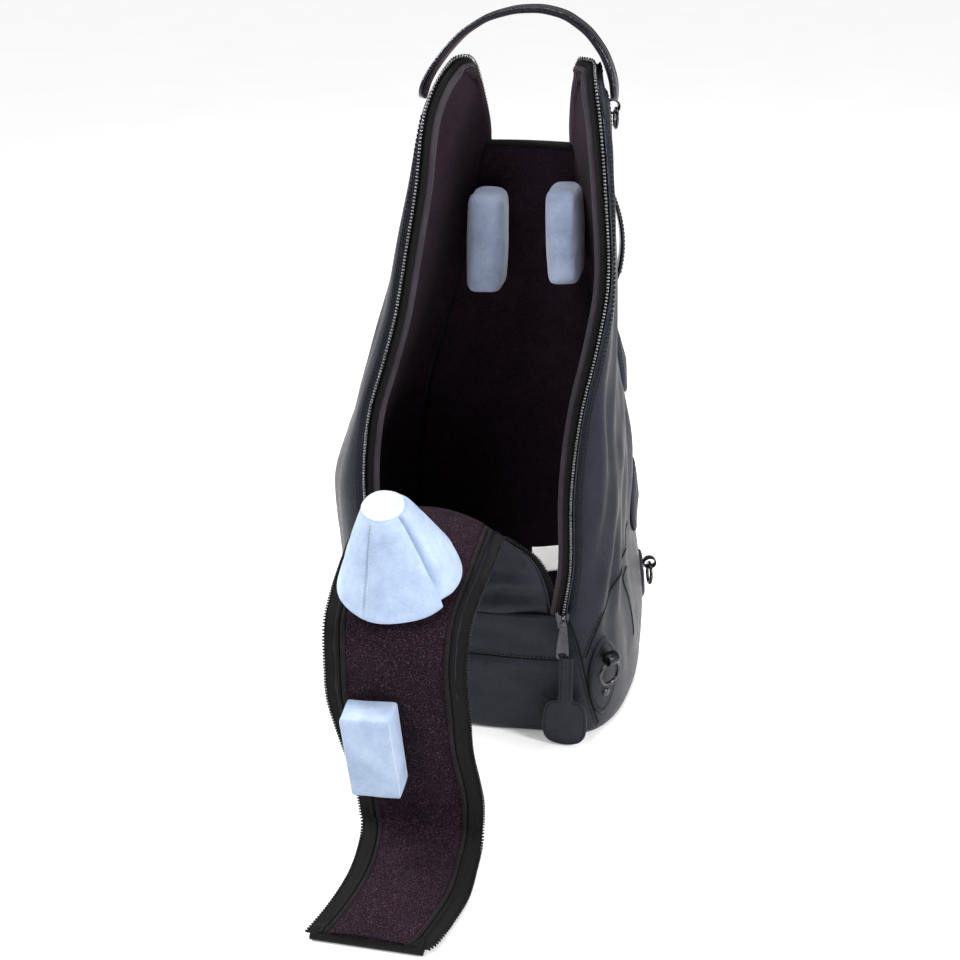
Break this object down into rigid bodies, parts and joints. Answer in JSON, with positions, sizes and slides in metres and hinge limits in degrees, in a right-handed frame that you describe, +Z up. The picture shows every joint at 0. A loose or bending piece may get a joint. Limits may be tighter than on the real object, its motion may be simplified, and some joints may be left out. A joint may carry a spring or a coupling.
{
  "type": "saxophone gig bag",
  "caption": "Padded leather soft case for an alto saxophone, standing open with its zip-off front flap folded down to the floor.",
  "frame": {"origin": "under the middle of the base, on the floor", "axes": "+Z up, -Y towards the open front, +X to the right seen from the front"},
  "size_m": [0.335, 0.535, 0.733],
  "materials": {
    "leather": "soft grained nappa leather over foam, satin",
    "velour": "short-pile aubergine velour lining",
    "zip_tape": "woven black zip tape with metal teeth",
    "plush": "powder-blue velour over firm foam",
    "satin_pad": "grey-blue short plush",
    "gunmetal": "black-nickel plated, polished",
    "label": "blank white woven label",
    "fastener": "black hook-and-loop"
  },
  "bodies": {
    "bag": {"base_bucket": "leather", "bottom_cushion": "velour", "left_side_panel": "leather", "right_side_panel": "leather", "left_side_lining": "velour", "right_side_lining": "velour", "left_zip_tape": "zip_tape", "right_zip_tape": "zip_tape", "back_panel": "leather", "back_lining": "velour", "front_lower_panel": "leather", "left_suspension_pad": "satin_pad", "right_suspension_pad": "satin_pad", "care_label": "label", "handle_anchor_left": "leather", "handle_anchor_right": "leather", "side_patch": "leather", "side_loop": "leather", "rear_right_patch": "leather", "rear_right_loop": "leather", "rear_left_patch": "leather", "rear_left_loop": "leather", "upper_patch": "leather", "upper_loop": "leather", "side_handle_upper_anchor": "leather", "side_handle_lower_anchor": "leather", "upper_strap_keeper": "leather", "lower_strap_keeper": "leather"},
    "flap_1": {"flap_section_1": "leather"},
    "flap_2": {"flap_section_2": "leather"},
    "flap_3": {"flap_section_3": "leather", "cone_fastener": "fastener", "bell_cone": "plush"},
    "flap_4": {"flap_section_4": "leather"},
    "flap_5": {"flap_section_5": "leather", "block_fastener": "fastener", "key_block": "plush"},
    "flap_6": {"flap_section_6": "leather"},
    "flap_7": {"flap_section_7": "leather"},
    "flap_8": {"flap_section_8": "leather"},
    "flap_9": {"flap_section_9": "leather"},
    "top_handle": {"top_handle": "leather"},
    "side_handle": {"side_handle": "leather"},
    "side_ring": {"side_ring": "gunmetal"},
    "rear_right_ring": {"rear_right_ring": "gunmetal"},
    "rear_left_ring": {"rear_left_ring": "gunmetal"},
    "upper_ring": {"upper_ring": "gunmetal"},
    "left_zip_slider": {"left_zip_slider": "gunmetal"},
    "left_zip_pull": {"left_zip_pull": "gunmetal"},
    "left_zip_tag": {"left_zip_tag": "leather"},
    "right_zip_slider": {"right_zip_slider": "gunmetal"},
    "right_zip_pull": {"right_zip_pull": "gunmetal"},
    "right_zip_tag": {"right_zip_tag": "leather"}
  },
  "joints": [
    {"name": "flap_swing", "type": "hinge", "parent": "bag", "child": "flap_1", "pos_m": [-0.027, -0.093, 0.15], "axis": [0, 1, 0], "range_deg": [0, 4.04]},
    {"name": "flap_fold_1", "type": "hinge", "parent": "flap_1", "child": "flap_2", "pos_m": [-0.046, -0.09649, 0.24994], "axis": [-1, 0, 0], "range_deg": [0, 47.5]},
    {"name": "flap_fold_2", "type": "hinge", "parent": "flap_2", "child": "flap_3", "pos_m": [-0.047, -0.13195, 0.27764], "axis": [-1, 0, 0], "range_deg": [0, 47.5]},
    {"name": "flap_fold_3", "type": "hinge", "parent": "flap_3", "child": "flap_4", "pos_m": [-0.048, -0.26749, 0.24259], "axis": [-1, 0, 0], "range_deg": [0, 35.85]},
    {"name": "flap_fold_4", "type": "hinge", "parent": "flap_4", "child": "flap_5", "pos_m": [-0.05, -0.28965, 0.21422], "axis": [-1, 0, 0], "range_deg": [0, 42.13]},
    {"name": "flap_fold_5", "type": "hinge", "parent": "flap_5", "child": "flap_6", "pos_m": [-0.028, -0.27288, 0.0225], "axis": [-1, 0, 0], "range_deg": [-28.68, 0]},
    {"name": "flap_fold_6", "type": "hinge", "parent": "flap_6", "child": "flap_7", "pos_m": [-0.026, -0.29117, 0.0055], "axis": [-1, 0, 0], "range_deg": [-8.07, 0]},
    {"name": "flap_fold_7", "type": "hinge", "parent": "flap_7", "child": "flap_8", "pos_m": [-0.032, -0.33844, 0.0055], "axis": [-1, 0, 0], "range_deg": [0, 39.44]},
    {"name": "flap_fold_8", "type": "hinge", "parent": "flap_8", "child": "flap_9", "pos_m": [-0.038, -0.38572, 0.0055], "axis": [-1, 0, 0], "range_deg": [0, 39.44]},
    {"name": "top_handle_swing", "type": "hinge", "parent": "bag", "child": "top_handle", "pos_m": [0.008, -0.008, 0.664], "axis": [1, 0, 0], "range_deg": [-29, 29]},
    {"name": "side_handle_swing", "type": "hinge", "parent": "bag", "child": "side_handle", "pos_m": [0.10274, 0.03326, 0.468], "axis": [-0.1094, -0.0271, 0.9936], "range_deg": [-35, 35]},
    {"name": "side_ring_swing", "type": "hinge", "parent": "bag", "child": "side_ring", "pos_m": [0.12698, -0.09088, 0.098], "axis": [-0.6673, -0.7448, 0], "range_deg": [0, 90]},
    {"name": "rear_right_ring_swing", "type": "hinge", "parent": "bag", "child": "rear_right_ring", "pos_m": [0.15446, 0.07029, 0.13016], "axis": [0.2562, -0.9666, 0], "range_deg": [0, 90]},
    {"name": "rear_left_ring_swing", "type": "hinge", "parent": "bag", "child": "rear_left_ring", "pos_m": [-0.16581, 0.07127, 0.13016], "axis": [0.3364, 0.9417, 0], "range_deg": [0, 90]},
    {"name": "upper_ring_swing", "type": "hinge", "parent": "bag", "child": "upper_ring", "pos_m": [0.09834, 0.01873, 0.64244], "axis": [0.2756, -0.9613, 0], "range_deg": [0, 90]},
    {"name": "left_zip_slide", "type": "slide", "parent": "bag", "child": "left_zip_slider", "axis": [-0.0214, 0.0286, 0.9994], "range_m": [0, 0.14]},
    {"name": "left_zip_pull_swing", "type": "hinge", "parent": "left_zip_slider", "child": "left_zip_pull", "pos_m": [-0.132, -0.1105, 0.1475], "axis": [-1, 0, 0], "range_deg": [0, 130]},
    {"name": "left_zip_tag_swing", "type": "hinge", "parent": "left_zip_pull", "child": "left_zip_tag", "pos_m": [-0.136, -0.113, 0.1135], "axis": [-1, 0, 0], "range_deg": [0, 50]},
    {"name": "right_zip_slide", "type": "slide", "parent": "bag", "child": "right_zip_slider", "axis": [0.0359, 0.0359, 0.9987], "range_m": [0, 0.25]},
    {"name": "right_zip_pull_swing", "type": "hinge", "parent": "right_zip_slider", "child": "right_zip_pull", "pos_m": [0.078, -0.1105, 0.1475], "axis": [-1, 0, 0], "range_deg": [0, 130]},
    {"name": "right_zip_tag_swing", "type": "hinge", "parent": "right_zip_pull", "child": "right_zip_tag", "pos_m": [0.081, -0.113, 0.1135], "axis": [-1, 0, 0], "range_deg": [0, 50]}
  ],
  "couplings": [
    {"joint": "flap_swing", "follows": "flap_fold_1", "ratio": 0.084906},
    {"joint": "flap_fold_2", "follows": "flap_fold_1", "ratio": 1},
    {"joint": "flap_fold_3", "follows": "flap_fold_1", "ratio": 0.75472},
    {"joint": "flap_fold_4", "follows": "flap_fold_1", "ratio": 0.88679},
    {"joint": "flap_fold_5", "follows": "flap_fold_1", "ratio": -0.60377},
    {"joint": "flap_fold_6", "follows": "flap_fold_1", "ratio": -0.16981},
    {"joint": "flap_fold_7", "follows": "flap_fold_1", "ratio": 0.83019},
    {"joint": "flap_fold_8", "follows": "flap_fold_1", "ratio": 0.83019}
  ]
}
